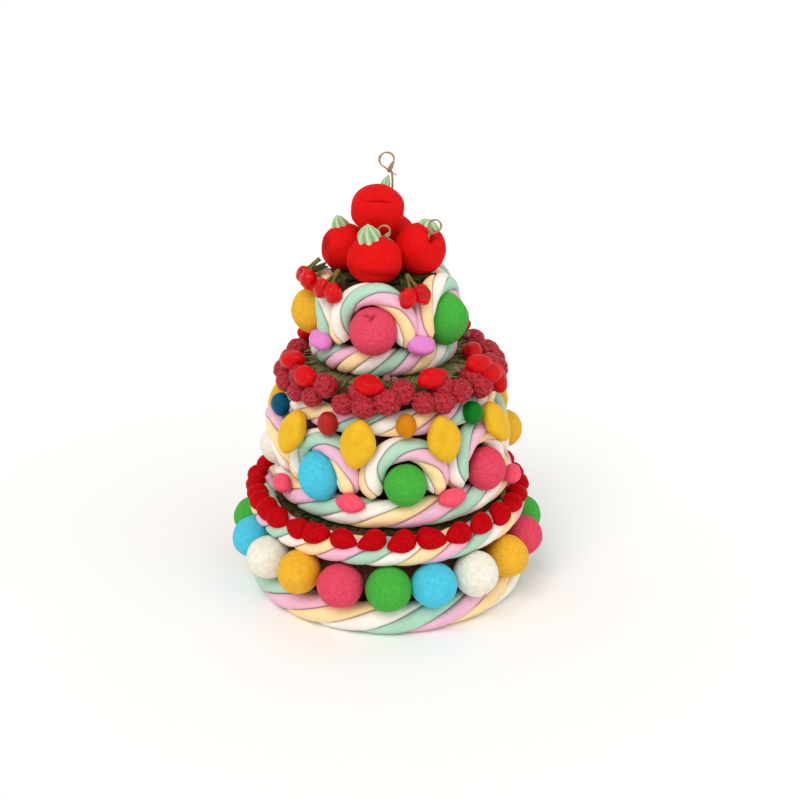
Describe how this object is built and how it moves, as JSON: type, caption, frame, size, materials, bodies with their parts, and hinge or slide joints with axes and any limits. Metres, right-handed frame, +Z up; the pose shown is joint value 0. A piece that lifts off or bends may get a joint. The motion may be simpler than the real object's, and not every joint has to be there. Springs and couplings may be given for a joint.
{
  "type": "candy cake",
  "caption": "Three-tier stepped cake made of sweets: twisted marshmallow ropes and arches frame round marshmallows, with gummy berries on the ledges and red marshmallows stacked on top",
  "frame": {"origin": "centre of the underside, on the surface the cake stands on", "axes": "+X to the right seen from the front, +Y to the back, +Z up through the tiers"},
  "size_m": [0.2858, 0.2851, 0.387],
  "materials": {
    "berry_gummy": "dark red gummy under sugar crystals",
    "cherry_gummy": "clear wet-looking red gummy",
    "drum": "olive green, dry and fibrous",
    "lemon_gummy": "smooth yellow gummy with a soft sheen",
    "marshmallow_blue": "matt, faintly sugared",
    "marshmallow_green": "matt, faintly sugared",
    "marshmallow_pink": "matt, faintly sugared",
    "marshmallow_red": "matt bright red",
    "marshmallow_rope": "soft matt strands in mint, cream, peach and pink",
    "marshmallow_white": "matt, faintly sugared",
    "marshmallow_yellow": "matt, faintly sugared"
  },
  "bodies": {
    "root": {"base_ball_01": "marshmallow_green", "base_ball_02": "marshmallow_blue", "base_ball_03": "marshmallow_white", "base_ball_04": "marshmallow_yellow", "base_ball_05": "marshmallow_pink", "base_ball_06": "marshmallow_green", "base_ball_07": "marshmallow_blue", "base_ball_08": "marshmallow_white", "base_ball_09": "marshmallow_yellow", "base_ball_10": "marshmallow_pink", "base_ball_11": "marshmallow_blue", "base_ball_12": "marshmallow_white", "base_ball_13": "marshmallow_yellow", "base_ball_14": "marshmallow_pink", "base_ball_15": "marshmallow_green", "base_ball_16": "marshmallow_blue", "base_ball_17": "marshmallow_white", "base_ball_18": "marshmallow_yellow", "base_ball_19": "marshmallow_pink", "base_rope": "marshmallow_rope", "cherry_1": "cherry_gummy", "cherry_2": "cherry_gummy", "cherry_3": "cherry_gummy", "cherry_4": "cherry_gummy", "cherry_5": "cherry_gummy", "drum": "drum", "ledge_rope": "marshmallow_rope", "lemon_1": "lemon_gummy", "lemon_2": "lemon_gummy", "lemon_3": "lemon_gummy", "lemon_4": "lemon_gummy", "lemon_5": "lemon_gummy", "lemon_6": "lemon_gummy", "lemon_7": "lemon_gummy", "lemon_8": "lemon_gummy", "middle_arches": "marshmallow_rope", "middle_ball_1": "marshmallow_green", "middle_ball_2": "marshmallow_pink", "middle_ball_3": "marshmallow_yellow", "middle_ball_4": "marshmallow_blue", "middle_ball_5": "marshmallow_pink", "middle_ball_6": "marshmallow_green", "middle_ball_7": "marshmallow_white", "middle_ball_8": "marshmallow_blue", "middle_rope": "marshmallow_rope", "raspberries": "berry_gummy", "red_ball_1": "marshmallow_red", "red_ball_2": "marshmallow_red", "red_ball_3": "marshmallow_red", "red_ball_4": "marshmallow_red", "red_ball_5": "marshmallow_red", "shoulder_rope": "marshmallow_rope", "top_arches": "marshmallow_rope", "top_ball_1": "marshmallow_pink", "top_ball_2": "marshmallow_green", "top_ball_3": "marshmallow_blue", "top_ball_4": "marshmallow_white", "top_ball_5": "marshmallow_yellow", "top_rope": "marshmallow_rope"}
  },
  "joints": []
}
